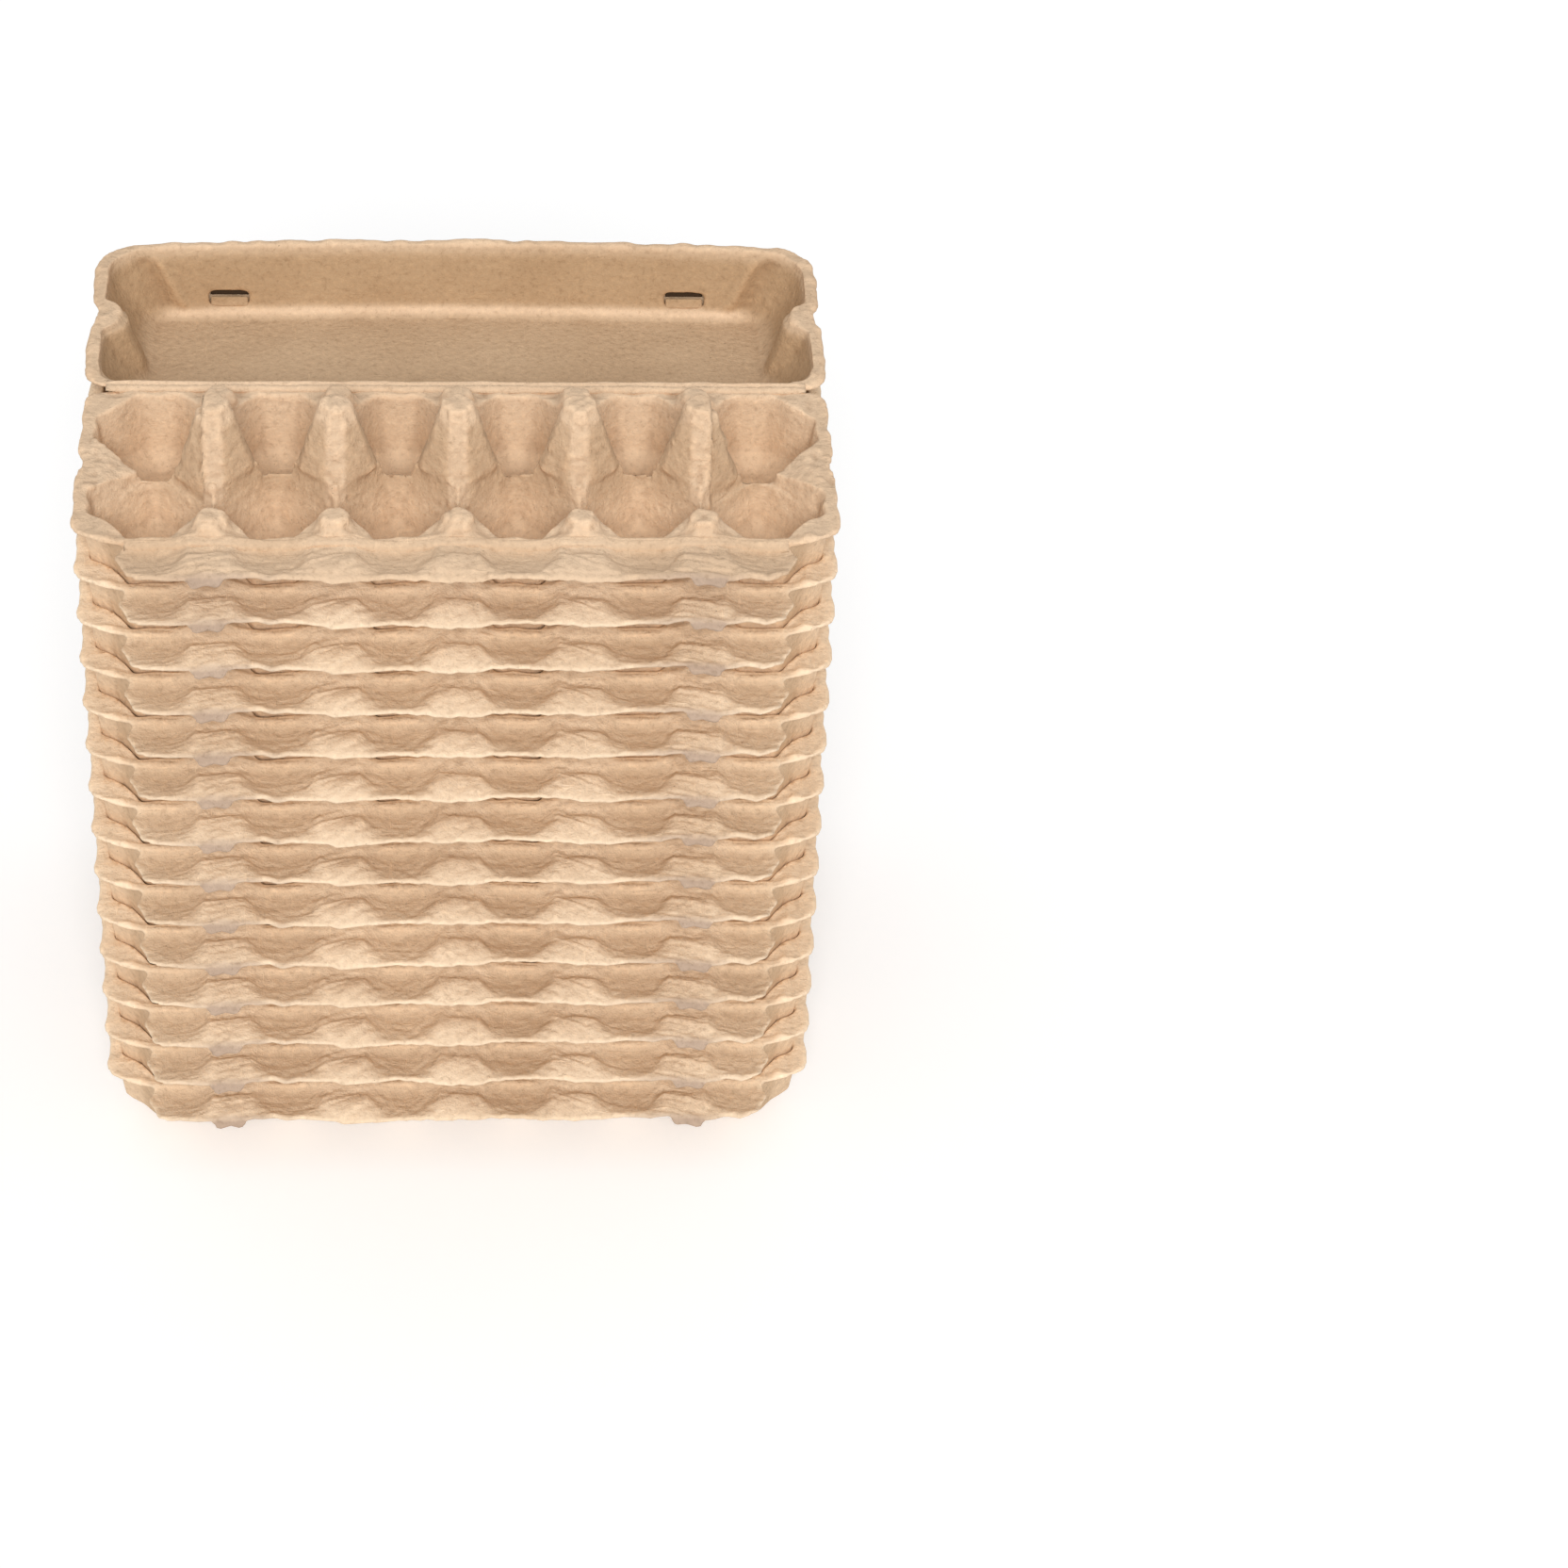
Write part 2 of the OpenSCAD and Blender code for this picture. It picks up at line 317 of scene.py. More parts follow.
# %% [markdown]
# ## The locking flap's relief
# Below each bump of the rim a fan of pulp spreads to the free edge. Between two fans the flap dips in
# a scoop, which follows the round front of the egg cell. A shallow groove beside the fold leaves room
# for the rim of the closed lid. The flap stays one sheet, so its top and its underside move by the same
# amount.


# %% Flap
def from_gap(x):
    """Sideways distance from the nearest gap between two columns of cells."""
    return np.abs((x + COLUMN_PITCH / 2) % COLUMN_PITCH - COLUMN_PITCH / 2)


def bowl(x):
    """One in front of an egg cell, falling to nothing beside the bumps."""
    return np.clip(1 - ((COLUMN_PITCH / 2 - from_gap(x)) / 15.5) ** 2, 0, 1) ** 0.75


def scoop(x, out):
    """The bowl, fading towards the flap's free edge."""
    return bowl(x) * np.clip(1 - (np.maximum(out, 0) / 20) ** 2, 0, 1)


def front_sag(x, out):
    """How far the rim and the flap lie below the level of the bumps, in front of the cells."""
    return scoop(x, out) * (SCOOP_SAG + 2.6 * ease(0, 4.5, out))


def flap_relief(points, seed):
    x, y, z = points.T
    out = -HALF_DEPTH - y
    run = np.clip(out / FLAP_LENGTH, 0, 1)
    sheet = ease(-0.5, 0.5, out) * (z > -14)
    dip = scoop(x, out)
    rays = lumps(along(x * 24 / (out + 12), out * 0.25), 3.2, seed)
    crumple = np.abs(lumps(along(x, out), 6.5, seed + 1)) - 0.3
    wrinkles = lumps(along(x * 0.14, out), 1.8, seed + 2)
    wave = lumps(along(x), 26, seed + 3)
    ragged = lumps(along(x), 6, seed + 4)
    pebbles = lumps(along(x, out), 2.8, seed + 5)
    groove = bell(out, 5, 3.5) * (1 - dip)
    drop = (1 - dip) * (0.45 * rays + 0.8 * crumple) * ease(1, 5, out) - front_sag(x, out)
    drop += 0.12 * bowl(x) * wrinkles * ease(0.5, 3, out) + 0.22 * pebbles
    drop -= 0.8 * groove
    drop += 1.3 * wave * run**2 + 1.4 * bell(np.abs(x), TAB_X, 15) * run**3
    moved = points.copy()
    moved[:, 2] += drop * sheet
    moved[:, 1] -= 0.9 * ragged * run**2 * sheet
    return moved


deepest = front_sag(np.full(50, COLUMN_PITCH / 2), np.linspace(0, FLAP_LENGTH, 50)).max()
print(f"scoops {deepest:.2f} mm deep in front of the cells")


# %% [markdown]
# ## The tray's relief
# The outer panels of a cell swell a little towards the egg. The posts spread at the foot and carry the
# coarse grain of the mould's back side. The rim is lumpy and sags in front of each cell. Elsewhere it is
# lowered a little, which leaves room for the closed lid. All of this is a push along the normal, towards
# the cell's axis, sideways or downward.


# %% Tray
def squared(moved, corner_x, corner_y, towards, weight):
    """Draws the round corners of a rim out, at corner_x on both sides, until they are nearly square."""
    across = np.maximum(np.abs(moved[:, 0]) - corner_x, 0)
    beside = np.maximum((moved[:, 1] - corner_y) * towards, 0)
    reach = np.maximum(np.hypot(across, beside), 0.01)
    grow = reach / np.maximum((across**4 + beside**4) ** 0.25, 0.01) - 1
    grow *= weight * ease(4, 12, reach) * (across > 0) * (beside > 0)
    moved[:, 0] += np.sign(moved[:, 0]) * across * grow
    moved[:, 1] += towards * beside * grow


def tray_relief(points, normals, seed):
    x, y, z = points.T
    tray = ease(HALF_DEPTH + 1, HALF_DEPTH, np.abs(y))
    column = (np.clip(np.floor(x / COLUMN_PITCH), -3, 2) + 0.5) * COLUMN_PITCH
    across, beside = x - column, y - np.sign(y) * ROW_PITCH / 2
    reach = np.maximum(np.hypot(across, beside), 1.0)
    facet = 0.5 + 0.5 * np.cos(8 * np.arctan2(beside, across))
    outer = ease(-4, 4, beside * np.sign(y))
    push = 0.9 * facet * outer * ease(-31, -22, z) * ease(14, 0, z) * tray * ease(10, 18, reach)
    post = ease(22, 15, np.abs(y)) * ease(-24, -10, z)
    beyond = from_gap(x)
    edge = post * ease(6, 4, beyond)
    foot = np.clip(1 - z / POST_HEIGHT, 0, 1) * ease(-3, 0.5, z)
    foot = foot * ease(16.5, 11.5, beyond) * ease(1, 6, beyond)
    foot *= np.clip(1 - np.abs(y) / 14, 0, 1) * (np.abs(x) < POSTS_END)
    knob = ease(0.5, 2.5, z) * ease(28, 32, np.abs(y)) * tray
    rim = ease(-5, -2, z) * tray * np.maximum(ease(138, 143, np.abs(x)), ease(45, 48, np.abs(y)))
    web = ease(22, 12, np.abs(y)) * ease(146, 126, np.abs(x)) * (np.abs(x) > 100) * ease(-12, -3, z)
    coarse = np.abs(lumps(points, 3.2, seed + 4)) - 0.3
    knotty = np.abs(lumps(points, 5.0, seed + 5)) - 0.3
    grain = 0.34 * post * lumps(points, 2.4, seed) + 0.8 * edge * coarse
    grain += knob * (0.5 * lumps(points, 2.6, seed + 1) + 0.8 * knotty)
    grain += 0.6 * rim * lumps(points, 5.5, seed + 2) + 0.7 * web * lumps(points, 5.0, seed + 6)
    grain += 0.16 * lumps(points, 6.5, seed + 3)
    front = ease(-44.5, -49.5, y) * ease(0.5, -0.5, -HALF_DEPTH - y) * ease(-13, -1, z)
    moved = points + normals * grain[:, None]
    moved[:, 0] -= push * across / reach + 3.8 * foot * np.sign(across)
    moved[:, 1] -= push * beside / reach
    moved[:, 2] += 0.7 * bell(y, FRONT_RIDGE, 1.4) * ease(-4, -2.6, z) * tray - SCOOP_SAG * bowl(x) * front
    moved[:, 2] -= 0.75 * rim * ease(-48, -44, y)
    moved[:, 2] += 2.2 * ease(8, POST_HEIGHT, z) * ease(22, 15, np.abs(y)) - 5.0 * web
    squared(moved, HALF_LENGTH - TRAY_CORNER, HALF_DEPTH - TRAY_CORNER, 1, ease(-6, -2, z) * tray)
    return moved


corner = np.array([[HALF_LENGTH, HALF_DEPTH, 0]]) - (0.3 * TRAY_CORNER, 0.3 * TRAY_CORNER, 0)
drawn = corner.copy()
squared(drawn, HALF_LENGTH - TRAY_CORNER, HALF_DEPTH - TRAY_CORNER, 1, 1)
print(f"the rim's corners are drawn out by {np.linalg.norm(drawn - corner):.2f} mm")


# %% [markdown]
# ## The lid's relief
# Each end of the lid shows two leaf-shaped hollows with the pinch between them: the end wall swells out
# on both sides of the pinch. A low ridge parts the hollow at the far corner from the long wall. The far
# edge bows, because that wall relaxes as the pulp dries. The rim is lowered a little, so that it can lie
# on the tray's rim when the lid is closed.


# %% Lid
def far_bow(x):
    """How far the lid's far edge lies nearer to the tray than in its middle."""
    return LID_BOW * (x / HALF_LENGTH) ** 2


def lid_relief(points, normals, seed):
    x, y, z = points.T
    lid = ease(LID_BACK - 2, LID_BACK, y)
    middle = (LID_BACK + LID_FRONT) / 2
    depth = np.clip(z, LID_FLOOR, 0)
    wall = LID_MOUTH + depth * LID_END_DRAFT - np.abs(x)
    half = (LID_FRONT - LID_BACK) / 2 + depth * LID_DRAFT - 3
    leaf = np.clip(1 - ((np.abs(y - middle) / half - 0.56) / 0.42) ** 2, 0, 1)
    leaf *= np.clip(1 - ((z + 15) / 15) ** 2, 0, 1) * ease(9, 4, wall)
    rim = ease(-5, -2, z)
    ridge = 1.8 * bell(wall, 8, 4.5) - 1.5 * bell(wall, 16, 2.6)
    ridge *= lid * ease(middle + 20, middle + 34, y) * ease(-29, -24, z) * ease(-2, -8, z)
    moved = points.copy()
    moved[:, 1] += ridge
    moved[:, 0] += np.sign(x) * lid * 4.0 * leaf**0.6
    moved[:, 0] += np.sign(x) * lid * 2.5 * bell(y, middle, 8) * rim * ease(134, 140, np.abs(x))
    moved[:, 1] -= far_bow(x) * ease(LID_BACK + 10, LID_FRONT, y) * lid
    grain = 0.16 * lumps(points, 3.0, seed) + 0.35 * lumps(points, 11, seed + 1)
    grain += 0.55 * rim * lumps(points, 6, seed + 2)
    moved += normals * (grain * lid)[:, None]
    moved[:, 2] -= 1.0 * rim * lid
    squared(moved, HALF_LENGTH - LID_CORNER, LID_EDGE + LID_CORNER, -1, rim * lid)
    return moved


print(f"the far edge bows by {far_bow(TAB_X):.2f} mm at the latches, {far_bow(LID_MOUTH):.2f} mm at the ends")


# %% [markdown]
# ## Latch tongues
# The slots in the lid's far wall are not cut out whole. A tongue stays in each one, fixed at its lower
# edge, so that only a slit shows at the top. Nested lids lie close behind it, so a dark plate there
# stands for the narrow gap that no light reaches. Both plates lean with the wall.


# %% Latch tongues
TONGUE = {"size": (15.8, 2.0, 4.2), "round_off": 0.8, "lower": 1.7, "outward": 1.6, "tone": 0.0}
# A painted shadow: a nearly black plate in the gap behind the slit.
SLIT_SHADOW_PLATE = {"size": (16.0, 0.4, 2.4), "round_off": 0.1, "lower": -1.6, "outward": 2.9, "tone": -3.0}


def with_tongues(mesh):
    net = bmesh.new()
    net.from_mesh(mesh)
    shade = net.verts.layers.float["worn"]
    wall = LID_FRONT - far_bow(TAB_X)
    turn = Matrix.Rotation(-LID_ANGLE, 4, "X")
    for side, plate in product((-1, 1), (TONGUE, SLIT_SHADOW_PLATE)):
        low = SLOT_DEPTH + plate["lower"]
        made = bmesh.ops.create_cube(net, size=1)["verts"]
        bmesh.ops.scale(net, vec=plate["size"], verts=made)
        edges = list({edge for vert in made for edge in vert.link_edges})
        cut = bmesh.ops.bevel(
            net, geom=edges, offset=plate["round_off"], segments=3, affect="EDGES", profile=0.5
        )
        rounded = {vert for face in cut["faces"] for vert in face.verts}
        made = list(rounded | {vert for vert in made if vert.is_valid})
        for vert in made:
            vert[shade] = plate["tone"]
        place = Matrix.Translation((side * TAB_X, wall - low * LID_DRAFT + plate["outward"], -low))
        bmesh.ops.transform(net, matrix=place @ turn, verts=made)
    net.to_mesh(mesh)
    net.free()
    print(f"{len(mesh.polygons)} faces with the latch tongues")
    return mesh


# %% [markdown]
# ## Pulp
# Moulded pulp is grey paper fibre: a warm tan ground with cloudy patches, short pale hairs, a few dark
# flecks and a pebbled skin. One node group makes those for every carton, and each material sets its own
# ground. Values that are stored on the points tell where the pulp is pinker, as in the cells, and more
# olive, as on the lid's floor, and they make ridges paler. They also carry painted light: painted shade
# in creases, in the corner pockets, along the flap's fold and on the tabs, and a painted highlight along
# the edge of the lid's floor. A value far below zero marks the plate behind a latch tongue, a nearly
# black painted shadow.


# %% Pulp node group
def put(tree, kind, **settings):
    node = tree.nodes.new(kind)
    for key, value in settings.items():
        setattr(node, key, value)
    return node


def plug(tree, socket, value):
    """Links the output of another node, or sets a plain value."""
    if isinstance(value, bpy.types.NodeSocket):
        tree.links.new(value, socket)
    else:
        socket.default_value = value


def feed(tree, node, **values):
    for key, value in values.items():
        plug(tree, node.inputs[key.replace("_", " ")], value)


def mix(tree, factor, one, two, blend="MIX"):
    node = put(tree, "ShaderNodeMix", data_type="RGBA", blend_type=blend)
    for index, value in ((0, factor), (6, one), (7, two)):
        plug(tree, node.inputs[index], value)
    return node.outputs[2]


def ramp(tree, value, low, high):
    node = put(tree, "ShaderNodeMapRange", interpolation_type="SMOOTHSTEP")
    feed(tree, node, Value=value, From_Min=low, From_Max=high)
    return node.outputs["Result"]


def sums(tree, operation, one, two):
    node = put(tree, "ShaderNodeMath", operation=operation)
    for index, value in enumerate((one, two)):
        plug(tree, node.inputs[index], value)
    return node.outputs[0]


def noise(tree, place, scale, detail, roughness=0.5, stretch=None):
    if stretch:
        turn = put(tree, "ShaderNodeMapping")
        feed(tree, turn, Vector=place, Rotation=stretch[0], Scale=stretch[1])
        place = turn.outputs[0]
    node = put(tree, "ShaderNodeTexNoise")
    feed(tree, node, Vector=place, Scale=scale, Detail=detail, Roughness=roughness)
    return node.outputs["Fac"]


TONES = ("Ground", "Cell", "Floor", "Grey")
PLACES = ("In Cell", "Olive And Shade", "Tab Shade", "Worn")
pulp = bpy.data.node_groups.new("moulded pulp", "ShaderNodeTree")
for names, way, kind in (
    (TONES, "INPUT", "NodeSocketColor"),
    (PLACES, "INPUT", "NodeSocketFloat"),
    (("Color",), "OUTPUT", "NodeSocketColor"),
    (("Roughness", "Height"), "OUTPUT", "NodeSocketFloat"),
):
    for name in names:
        pulp.interface.new_socket(name, in_out=way, socket_type=kind)
given = put(pulp, "NodeGroupInput").outputs
result = put(pulp, "NodeGroupOutput").inputs
place = put(pulp, "ShaderNodeTexCoord").outputs["Object"]
tone = given["Ground"]
# The olive tone and the grey tab tone also serve as painted shade, in pockets, along folds and on tabs.
for where, other in zip(PLACES, TONES[1:]):
    tone = mix(pulp, given[where], tone, given[other])


def tinted(factor, tint):
    """The tone so far, and where the factor is one, multiplied by the tint."""
    return mix(pulp, factor, tone, mix(pulp, 1.0, tone, (*tint, 1), "MULTIPLY"))


# Paler ridges, and the painted highlight along the edge of the lid's floor.
tone = tinted(ramp(pulp, given["Worn"], 0.1, 1.0), (1.10, 1.09, 1.08))
# Painted shade in creases.
tone = tinted(ramp(pulp, given["Worn"], -0.1, -1.0), (0.84, 0.81, 0.79))
# Painted shadow, nearly black, on the plate behind each latch tongue.
tone = tinted(ramp(pulp, given["Worn"], -1.5, -2.5), (0.12, 0.11, 0.10))
tone = tinted(ramp(pulp, noise(pulp, place, 24, 3), 0.35, 0.7), (0.93, 0.91, 0.89))
speck = noise(pulp, place, 420, 3, 0.65)
tone = tinted(ramp(pulp, speck, 0.5, 0.72), (1.11, 1.11, 1.10))
tone = tinted(ramp(pulp, speck, 0.47, 0.3), (0.85, 0.83, 0.81))
hair_one = noise(pulp, place, 520, 2, 0.5, ((0.5, 0.3, 0.6), (1, 0.12, 0.4)))
hair_two = noise(pulp, place, 480, 2, 0.5, ((0.2, 0.9, -0.8), (0.14, 1, 0.5)))
hairs = sums(pulp, "MAXIMUM", ramp(pulp, hair_one, 0.64, 0.74), ramp(pulp, hair_two, 0.64, 0.74))
tone = tinted(sums(pulp, "MULTIPLY", hairs, 0.5), (1.16, 1.16, 1.15))
fleck = ramp(pulp, noise(pulp, place, 760, 1), 0.76, 0.80)
fleck = sums(pulp, "MULTIPLY", fleck, ramp(pulp, noise(pulp, place, 60, 1), 0.45, 0.6))
FLECK_TONE = (0.16, 0.11, 0.07, 1)
tone = mix(pulp, sums(pulp, "MULTIPLY", fleck, 0.6), tone, FLECK_TONE)
pulp.links.new(tone, result["Color"])
pebble = noise(pulp, place, 330, 2)
grit = noise(pulp, place, 1100, 3, 0.7)
skin = sums(pulp, "ADD", sums(pulp, "MULTIPLY", pebble, 0.7), sums(pulp, "MULTIPLY", grit, 0.35))
pulp.links.new(sums(pulp, "ADD", skin, sums(pulp, "MULTIPLY", hairs, 0.12)), result["Height"])
pulp.links.new(sums(pulp, "ADD", sums(pulp, "MULTIPLY", speck, 0.12), 0.84), result["Roughness"])
print("node group:", pulp.name, len(pulp.nodes), "nodes")


# %% [markdown]
# ## Two pulp materials
# The lower cartons get a lighter ground than the top carton: painted light that makes up for the shade
# each flap casts on the row below. The group feeds colour, roughness and the height of a Bump node.


# %% Materials
def colour(red, green, blue):
    """The linear colour of an 8-bit screen colour."""
    return tuple(((v / 255 + 0.055) / 1.055) ** 2.4 for v in (red, green, blue)) + (1.0,)


def pulp_material(name, ground, cell, floor, tab_shade_tone):
    material = bpy.data.materials.new(name)
    material.use_nodes = True
    tree = material.node_tree
    shader = tree.nodes["Principled BSDF"]
    shader.inputs["Specular IOR Level"].default_value = 0.2
    group = put(tree, "ShaderNodeGroup", node_tree=pulp)
    feed(tree, group, Ground=ground, Cell=cell, Floor=floor, Grey=tab_shade_tone)
    for socket in PLACES:
        value = put(tree, "ShaderNodeAttribute", attribute_name=socket.lower().replace(" ", "_"))
        tree.links.new(value.outputs["Fac"], group.inputs[socket])
    bump = put(tree, "ShaderNodeBump")
    feed(tree, bump, Strength=0.7, Distance=0.0015, Height=group.outputs["Height"])
    feed(tree, shader, Base_Color=group.outputs["Color"], Roughness=group.outputs["Roughness"])
    feed(tree, shader, Normal=bump.outputs[0])
    print("material:", name)
    return material


# The cell tone is the cells' own pink, and partly painted light: lighter than the top carton's ground,
# against the shade deep in the cells.
ground, cell = colour(239, 214, 184), colour(228, 199, 167)
# The olive tone also serves as painted shade, and the grey tone is painted shade on the tabs.
olive_and_shade_tone, tab_shade_tone = colour(188, 156, 121), colour(186, 162, 142)
# The lower cartons' ground is painted lighter, against the shade under the flaps.
painted_lighter_stack_pulp = pulp_material("stack pulp painted lighter", ground, cell, olive_and_shade_tone, tab_shade_tone)
lid_pulp = pulp_material("top pulp", colour(224, 195, 164), cell, olive_and_shade_tone, tab_shade_tone)


# %% [markdown]
# ## Storing where the pulp changes
# A named attribute on the points is read by the material's Attribute node. It moves with the mesh, and
# no picture has to be unwrapped onto it. The olive tone lies inside the lid, and more faintly on the
# panels of the posts. The same tone is painted shade in the pockets at the tray's front corners and along
# the flap's fold and its scoops, most on the lower cartons, under the flap above. The grey tab tone is
# painted shade on the tabs, and a pale painted highlight runs along the edge of the lid's floor.


# %% Finish a piece
# How much painted shade lies along the flap's fold: more on the lower cartons, under the flap above.
STACK_FOLD_SHADE, TOP_FOLD_SHADE, MOST_FOLD_SHADE = 0.28, 0.14, 0.4


def tones(mesh, fold_shade_weight):
    x, y, z = read(mesh, "co").T
    out = -HALF_DEPTH - y
    tray = ease(HALF_DEPTH + 0.5, HALF_DEPTH - 3, np.abs(y))
    lid = ease(LID_BACK - 1, LID_BACK + 3, y)
    post = ease(20, 12, np.abs(y)) * ease(-20, -4, z)
    # Painted shade: the tabs below the flap's free edge, and the edge beside them, are tinted grey.
    tab_shade_mask = ease(FLAP_LENGTH - 0.5, FLAP_LENGTH + 1, out) * ease(12, 7, np.abs(np.abs(x) - TAB_X))
    tab_lip_shade = ease(FLAP_LENGTH - 2, FLAP_LENGTH, out) * bell(np.abs(x), TAB_X - 6, 22)
    # A painted highlight: a pale line along the edge between the lid's far wall and its floor, kept out of
    # the olive tone.
    lid_edge_highlight = lid * bell(z, -28.5, 1.7)
    lid_edge_highlight = lid_edge_highlight * ease(LID_FRONT - 18, LID_FRONT - 13, y) * ease(128, 118, np.abs(x))
    store(mesh, "in_cell", ease(1, -14, z) * tray * (1 - 0.7 * post))
    panel = post * ease(25, 19, z) * ease(2.5, 5, from_gap(x)) * (np.abs(x) < POSTS_END)
    # Painted shade in the pockets below the rim at the tray's front corners.
    pocket_shade = ease(-1, -6, z) * ease(-36, -44, y) * ease(126, 130, np.abs(x)) * (out < 0)
    inside = lid * (1 - lid_edge_highlight) * (ease(1, -8, z) - 0.35 * ease(-24, -30, z))
    # Painted shade along the flap's fold and in its scoops.
    fold_shade = fold_shade_weight * (bell(out, 0, 5) * bowl(x) + scoop(x, out) * ease(0, 3, out)) * ease(-9, -4, z)
    fold_shade = np.minimum(fold_shade, MOST_FOLD_SHADE)
    # Olive tone, and painted shade in the pockets and along the fold.
    store(mesh, "olive_and_shade", np.maximum.reduce([inside, 0.5 * panel, 0.5 * pocket_shade, fold_shade]))
    store(mesh, "tab_shade", np.maximum(tab_shade_mask, 0.7 * tab_lip_shade))
    store(mesh, "worn", stored(mesh, "worn") * (1 - lid_edge_highlight) * (1 - 0.6 * ease(2, 5, out)) + lid_edge_highlight)


def piece(name, mesh, origin, material, slot, *nodes):
    tones(mesh, STACK_FOLD_SHADE if material == painted_lighter_stack_pulp else TOP_FOLD_SHADE)
    mesh.transform(Matrix.Scale(MM, 4) @ Matrix.Translation(origin))
    mesh.materials.clear()
    mesh.materials.append(material)
    mesh.shade_smooth()
    made = placed(name, mesh)
    if nodes:
        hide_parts(*nodes)
    print("piece:", name, len(mesh.polygons), "faces")
    return made


# %% [markdown]
# ## Lower cartons
# One moulding serves all thirteen: it is shaped once, then copied down the stack by the nest pitch. Its
# zones are what the nesting hides, the sides, and the front from above. The lowest carton keeps more faces,
# because its underside shows. Each copy gets its own slight warp, so that no two free edges run the same
# way, and flat feet to stand on. Every shape has its own seed, so that its swellings never change.

# %% Lower cartons
TRAY_SEED, LID_SEED, FLAP_SEED, WARP_SEED, FRAY_SEED = 11, 21, 31, 100, 200
low_carton = moulded("carton_13", top_origin - (0, 0, NEST_PITCH), voxel=1.05, rounds=4)
facing = read(low_carton, "normal")
shaped = tray_relief(read(low_carton, "co"), facing, TRAY_SEED)
shaped = flap_relief(lid_relief(shaped, facing, LID_SEED), FLAP_SEED)
shape_with_ridge_and_crease_tone(low_carton, shaped)
front, ends, far = shaped[:, 1] < -41, np.abs(shaped[:, 0]) > 137, shaped[:, 1] > 152
upward, underside = facing[:, 2] > -0.3, facing[:, 2] < -0.2
zones = np.where(front | ends | far, 1, 0) + (front & upward)
base_zones = np.maximum(zones, underside)
base_carton = with_tongues(thinned(low_carton.copy(), base_zones, faces=(4000, 30000, 26000)))
low_carton = with_tongues(thinned(low_carton, zones, faces=(4000, 10000, 26000)))
for level in range(1, LEVELS + 1):
    copy = (base_carton if level == 1 else low_carton).copy()
    warp = read(copy, "co")
    run = np.clip((-HALF_DEPTH - warp[:, 1]) / FLAP_LENGTH, 0, 1)
    warp[:, 2] += 1.0 * run**2 * lumps(along(warp[:, 0]), 34, WARP_SEED + level)
    warp[:, 1] += 0.5 * run**2 * lumps(along(warp[:, 0]), 9, FRAY_SEED + level)
    warp[:, 2] = np.maximum(warp[:, 2], -CARTON_DEPTH)
    write_points(copy, warp)
    name = f"carton_{level:02d}"
    origin = top_origin - (0, 0, (LEVELS + 1 - level) * NEST_PITCH)
    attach(piece(name + "_pulp", copy, origin, painted_lighter_stack_pulp, "pulp", name), "stack")

# %% [markdown]
# ## Top carton
# The top carton is the one that opens and shuts, so its tray, lid and flap are three pieces, each on its
# own body. They get a finer net than the rest, because they show all their surface.

# %% Top carton
tray = moulded("top_tray", top_origin, voxel=0.95, rounds=2)
facing = read(tray, "normal")
shaped = tray_relief(read(tray, "co"), facing, TRAY_SEED)
shape_with_ridge_and_crease_tone(tray, shaped)
seen = (facing[:, 2] > -0.3) | (np.abs(shaped[:, 0]) > 138) | (np.abs(shaped[:, 1]) > 46)
tray = thinned(tray, np.where(seen, 1, 0), faces=(8000, 130000))
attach(piece("top_tray_pulp", tray, top_origin, lid_pulp, "top_pulp", "top_tray"), "stack")

lid = moulded("top_lid", top_origin, voxel=1.0, rounds=4)
shape_with_ridge_and_crease_tone(lid, lid_relief(read(lid, "co"), read(lid, "normal"), LID_SEED))
lid = with_tongues(thinned(lid, np.zeros(len(lid.vertices)), faces=(84000,)))
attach(piece("top_lid_pulp", lid, top_origin, lid_pulp, "top_pulp", "top_lid"), "lid")

flap = moulded("top_flap", top_origin, voxel=0.8, rounds=4)
shape_with_ridge_and_crease_tone(flap, flap_relief(read(flap, "co"), FLAP_SEED))
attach(piece("top_flap_pulp", flap, top_origin, lid_pulp, "top_pulp", "top_flap"), "flap")


# %% [markdown]
# ## Creases
# The pulp is pressed thin along a fold and never parts there. A narrow strip bridges each fold of the
# top carton, with the double ridge that the pressing leaves, and bends between the two sides. A profile
# of y and z, carried along x, gives its shape. The front strip sags with the rim and the flap.


# %% Crease strips
def crease(name, profile, bodies, half, sag, seed, start, end):
    """A strip from -half to half in x, that bends from the first body at start to the second at end."""
    stations = np.linspace(-half, half, int(1.5 * half))
    x = np.repeat(stations, len(profile))
    y, z = np.tile(np.array(profile).T, len(stations))
    taper = 0.35 + 0.65 * ease(half, half - 4, np.abs(x))
    points = np.stack([x, y, z * taper - sag * front_sag(x, -HALF_DEPTH - y)], 1)
    uneven = [lumps(points * (0.3, 1, 1), 3.0, seed + k) for k in range(2)]
    points[:, 1:] += 0.3 * np.stack(uneven, 1)
    around, count = len(profile), len(stations)
    faces = [
        (s * around + k, s * around + after, (s + 1) * around + after, (s + 1) * around + k)
        for s in range(count - 1)
        for k, after in enumerate([*range(1, around), 0])
    ]
    faces += [tuple(range(around))[::-1], tuple(range((count - 1) * around, count * around))]
    mesh = bpy.data.meshes.new(name)
    mesh.from_pydata(points.tolist(), [], faces)
    # Paler towards the top of the strip: a painted highlight on the fold's ridges.
    store(mesh, "worn", ease(0.2, 0.8, z))
    strip = piece(name, mesh, top_origin, lid_pulp, "top_pulp")
    ends = [(0, (TRAY_Y + place) * MM, RIM * MM) for place in (start, end)]
    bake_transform(strip, *bodies, start=ends[0], end=ends[1])


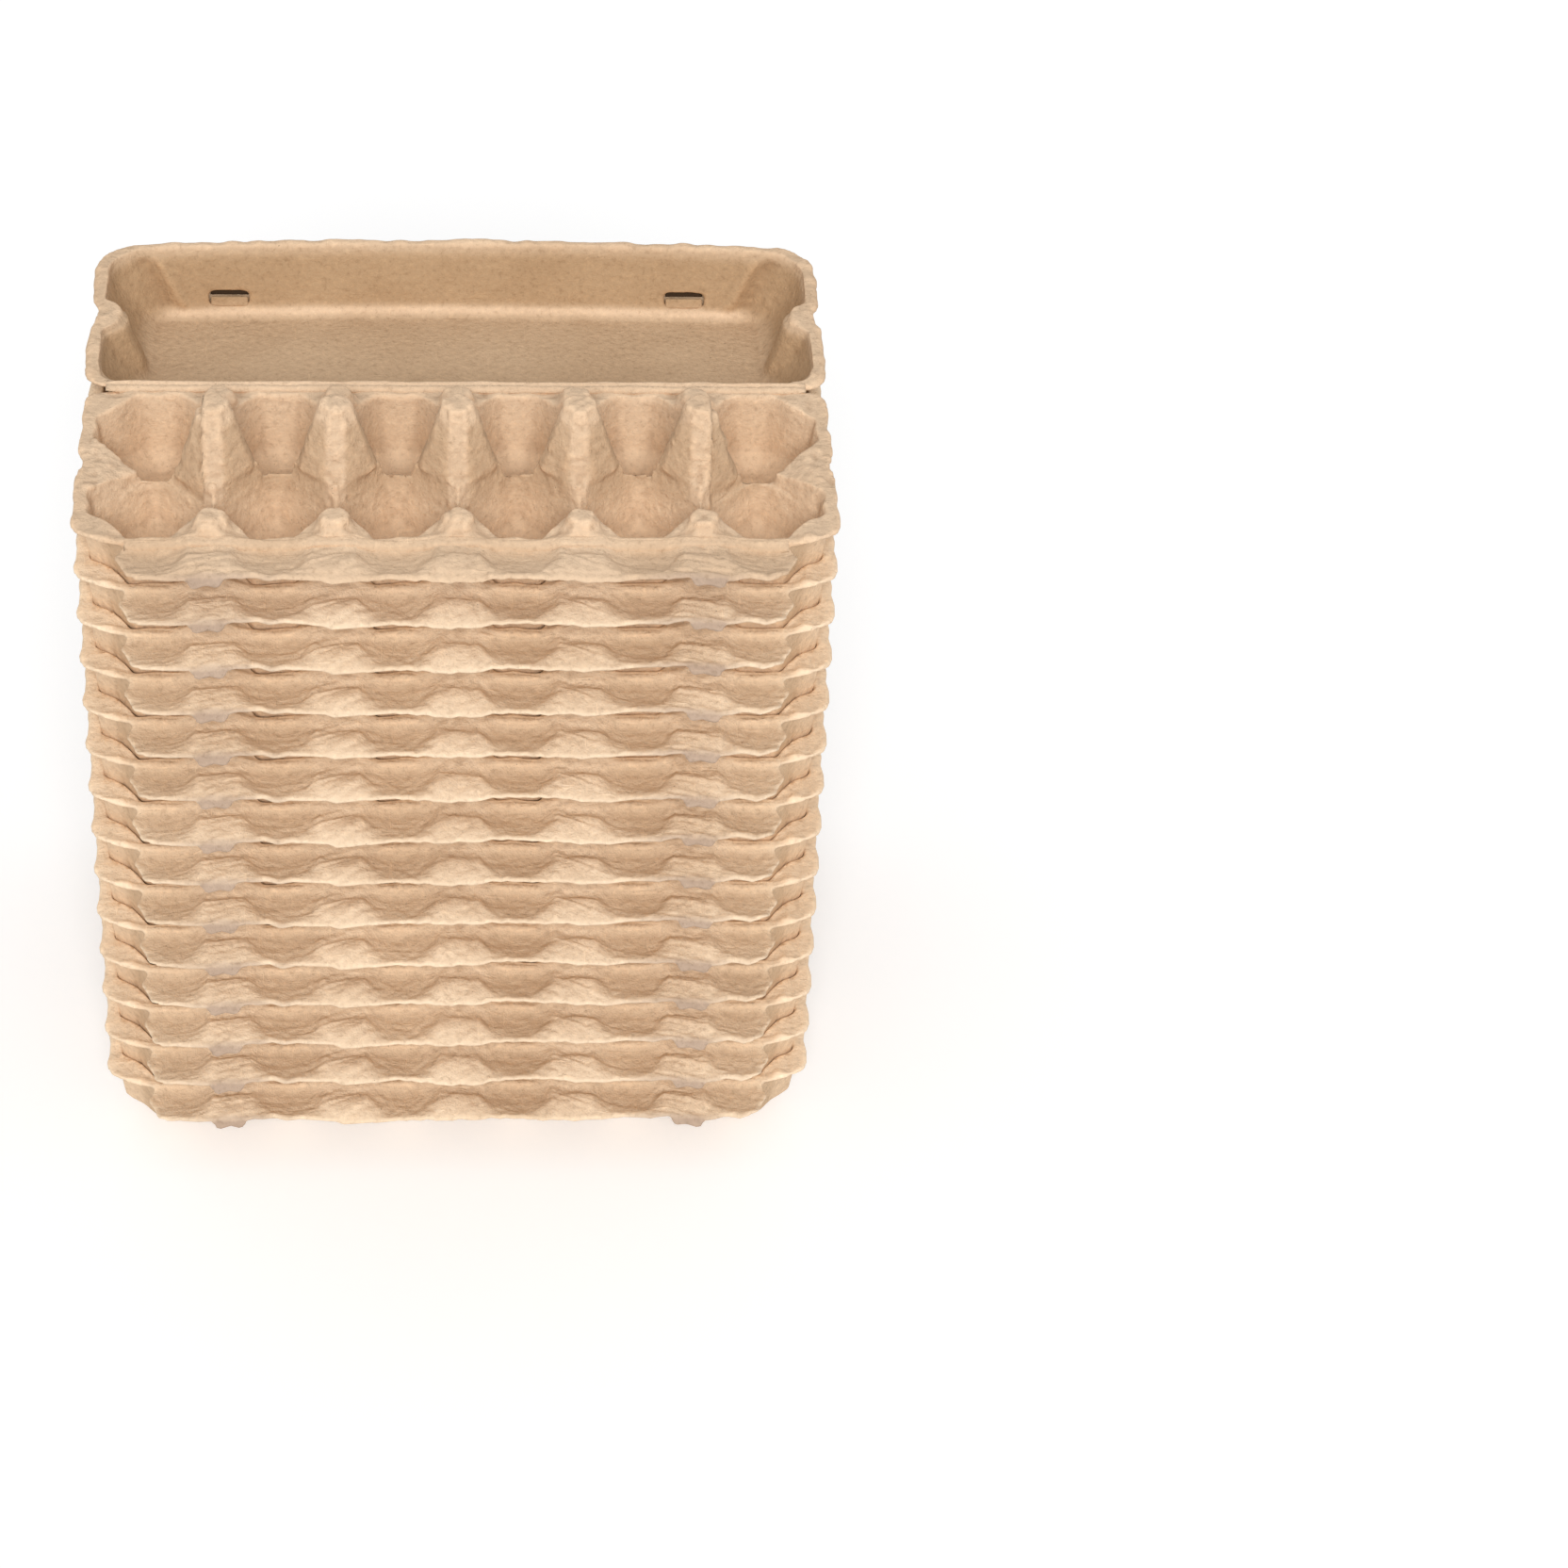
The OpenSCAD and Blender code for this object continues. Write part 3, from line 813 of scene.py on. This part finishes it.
hinge_profile = [
    (50.4, -0.5), (51.6, 0.5), (52.6, 1.0), (53.4, 0.65), (54.3, 0.1), (55.1, 0.6), (55.9, 1.0),
    (56.9, 0.5), (58.0, -0.5), (56.6, -1.9), (55.2, -2.1), (54.3, -1.7), (53.4, -2.1), (52.0, -1.9),
]
crease("hinge_crease", hinge_profile, ("stack", "lid"), half=142.0, sag=0, seed=51, start=52.9, end=55.7)
flap_profile = [
    (-49.6, -0.5), (-50.6, 0.6), (-51.5, 0.95), (-52.4, 0.6), (-53.2, 0.55), (-54.2, 0.3),
    (-55.6, -0.7), (-54.6, -2.2), (-53.2, -2.5), (-52.5, -2.4), (-51.6, -2.4), (-50.4, -1.9),
]
crease("flap_crease", flap_profile, ("stack", "flap"), half=129.0, sag=1, seed=61, start=-51.7, end=-53.3)

# %% [markdown]
# ## Floor and light
# The stack stands on white paper. One broad lamp, as far away as the sun, shines nearly along the
# camera's line of sight, like a flash, so that every carton gets the same light, and the white world
# fills the shadows. The paper glows a little for the camera alone, which whitens it there and still keeps
# the stack's shadow.

# %% Stage
floor_mesh = bpy.data.meshes.new("floor")
side = 6.0
corners = [(-side, -side, 0), (side, -side, 0), (side, side, 0), (-side, side, 0)]
floor_mesh.from_pydata(corners, [], [(0, 1, 2, 3)])
floor = placed("floor", floor_mesh)
paper = bpy.data.materials.new("studio paper")
paper.use_nodes = True
tree = paper.node_tree
shader = tree.nodes["Principled BSDF"]
shader.inputs["Roughness"].default_value = 0.9
shader.inputs["Specular IOR Level"].default_value = 0.1
sweep = noise(tree, put(tree, "ShaderNodeTexCoord").outputs["Object"], 3, 2)
feed(tree, shader, Base_Color=mix(tree, sweep, (0.87, 0.87, 0.87, 1), (0.9, 0.9, 0.9, 1)))
shader.inputs["Emission Color"].default_value = (1, 1, 1, 1)
glow = sums(tree, "MULTIPLY", put(tree, "ShaderNodeLightPath").outputs["Is Camera Ray"], 0.22)
feed(tree, shader, Emission_Strength=glow)
floor.data.materials.append(paper)
floor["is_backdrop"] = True

world = bpy.data.worlds.new("studio")
world.use_nodes = True
bpy.context.scene.world = world
tree = world.node_tree
background = tree.nodes["Background"]
background.inputs["Color"].default_value = (1, 1, 1, 1)
rays = put(tree, "ShaderNodeLightPath")
strength = put(tree, "ShaderNodeMapRange")
feed(tree, strength, Value=rays.outputs["Is Camera Ray"], To_Min=0.6, To_Max=1.0)
tree.links.new(strength.outputs[0], background.inputs["Strength"])

sun = bpy.data.lights.new("key", "SUN")
sun.energy = 1.95
sun.angle = math.radians(22)
shining = Vector((0, 0.82, -0.57))
key = placed("key", sun)
key.rotation_euler = shining.to_track_quat("-Z", "Y").to_euler()
print("key light:", sun.energy, "W per square metre")

# %% [markdown]
# ## Camera
# The camera looks at the front from about 37 degrees above. It is aimed past the stack, to the right
# and below, because the stack stands left of the middle of the picture. Turning it about its own axes
# keeps the rows level, and no lens shift is needed.

# %% Camera
elevation = math.radians(36.97)
distance = 1.9
target = Vector((0, 0, 0.2))
place = target + distance * Vector((0, -math.cos(elevation), math.sin(elevation)))
looking = (target - place).to_track_quat("-Z", "Y").to_matrix()
to_right, downward = math.radians(-4.15), math.radians(-1.93)
turned = looking @ Matrix.Rotation(to_right, 3, "Y") @ Matrix.Rotation(downward, 3, "X")
camera_data = bpy.data.cameras.new("camera")
camera_data.sensor_width = 36
camera_data.lens = 103.0
camera = placed("camera", camera_data)
camera.matrix_world = Matrix.Translation(place) @ turned.to_4x4()
bpy.context.scene.camera = camera
bpy.context.scene.view_settings.view_transform = "Standard"
print("camera at", tuple(round(v, 3) for v in place))

# %% [markdown]
# ## Size
# Both boxes, of the dressed stack and of its solids, are printed. The dressed stack must stay
# the size of its solids.

# %% Size and finish
low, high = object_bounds()
for title, box in (("dressed", (low, high)), ("solids", (cad_low, cad_high))):
    print(title, [round(b - a, 4) for a, b in zip(*box)])
